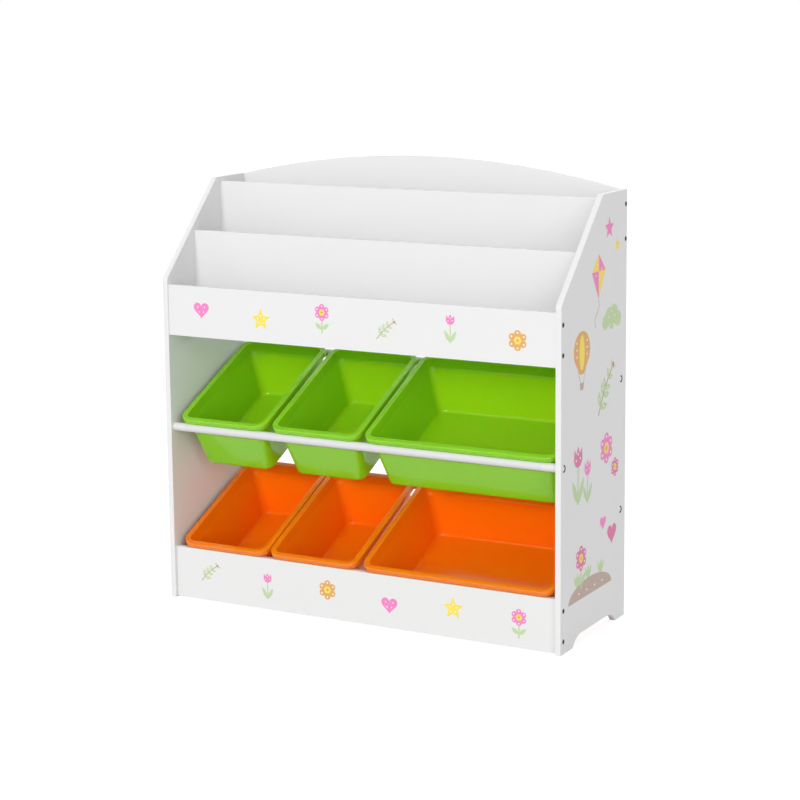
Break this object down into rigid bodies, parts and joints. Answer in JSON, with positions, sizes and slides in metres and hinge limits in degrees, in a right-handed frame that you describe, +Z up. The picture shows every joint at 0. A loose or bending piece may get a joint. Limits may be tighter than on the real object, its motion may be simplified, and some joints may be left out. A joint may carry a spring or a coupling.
{
  "type": "toy and book storage shelf",
  "caption": "Children's storage shelf: stepped book pockets under an arched back panel, over two rows of sloping lift-out bins that hang on round rails.",
  "frame": {"origin": "on the floor, midway across the width and the depth of the side panels", "axes": "+X to the right seen from the open front, +Y to the back, +Z up"},
  "size_m": [0.93, 0.32, 0.95],
  "materials": {
    "white_board": "satin white melamine on fibreboard",
    "white_tube": "white powder coat, low gloss",
    "white_plug": "moulded white plastic",
    "zinc_bolt": "bright zinc plate",
    "dark_screw": "black oxide",
    "zinc_fitting": "die-cast zinc",
    "beech": "bare beech",
    "green_plastic": "glossy moulded polypropylene",
    "orange_plastic": "glossy moulded polypropylene"
  },
  "bodies": {
    "carcass": {"left_side_panel": "white_board", "right_side_panel": "white_board", "arched_back_panel": "white_board", "rear_book_front": "white_board", "middle_book_front": "white_board", "front_fascia": "white_board", "front_tier_floor": "white_board", "middle_tier_floor": "white_board", "rear_tier_floor": "white_board", "plinth_board": "white_board", "front_rail_tube": "white_tube", "upper_rear_rail_tube": "white_tube", "lower_rear_rail_tube": "white_tube", "rail_end_plugs": "white_plug", "rail_bolts": "zinc_bolt", "confirmat_screws": "dark_screw", "cam_locks": "zinc_fitting", "cam_bolts": "zinc_fitting", "wooden_dowels": "beech"},
    "upper_left_bin": {"upper_left_bin": "green_plastic"},
    "upper_middle_bin": {"upper_middle_bin": "green_plastic"},
    "upper_large_bin": {"upper_large_bin": "green_plastic"},
    "lower_left_bin": {"lower_left_bin": "orange_plastic"},
    "lower_middle_bin": {"lower_middle_bin": "orange_plastic"},
    "lower_large_bin": {"lower_large_bin": "orange_plastic"}
  },
  "joints": [
    {"name": "upper_left_lift", "type": "slide", "parent": "carcass", "child": "upper_left_bin", "axis": [0, -0.4242, 0.9056], "range_m": [0, 0.11]},
    {"name": "upper_middle_lift", "type": "slide", "parent": "carcass", "child": "upper_middle_bin", "axis": [0, -0.4242, 0.9056], "range_m": [0, 0.11]},
    {"name": "upper_large_lift", "type": "slide", "parent": "carcass", "child": "upper_large_bin", "axis": [0, -0.4242, 0.9056], "range_m": [0, 0.11]},
    {"name": "lower_left_lift", "type": "slide", "parent": "carcass", "child": "lower_left_bin", "axis": [0, -0.4131, 0.9107], "range_m": [0, 0.11]},
    {"name": "lower_middle_lift", "type": "slide", "parent": "carcass", "child": "lower_middle_bin", "axis": [0, -0.4131, 0.9107], "range_m": [0, 0.11]},
    {"name": "lower_large_lift", "type": "slide", "parent": "carcass", "child": "lower_large_bin", "axis": [0, -0.4131, 0.9107], "range_m": [0, 0.11]}
  ]
}
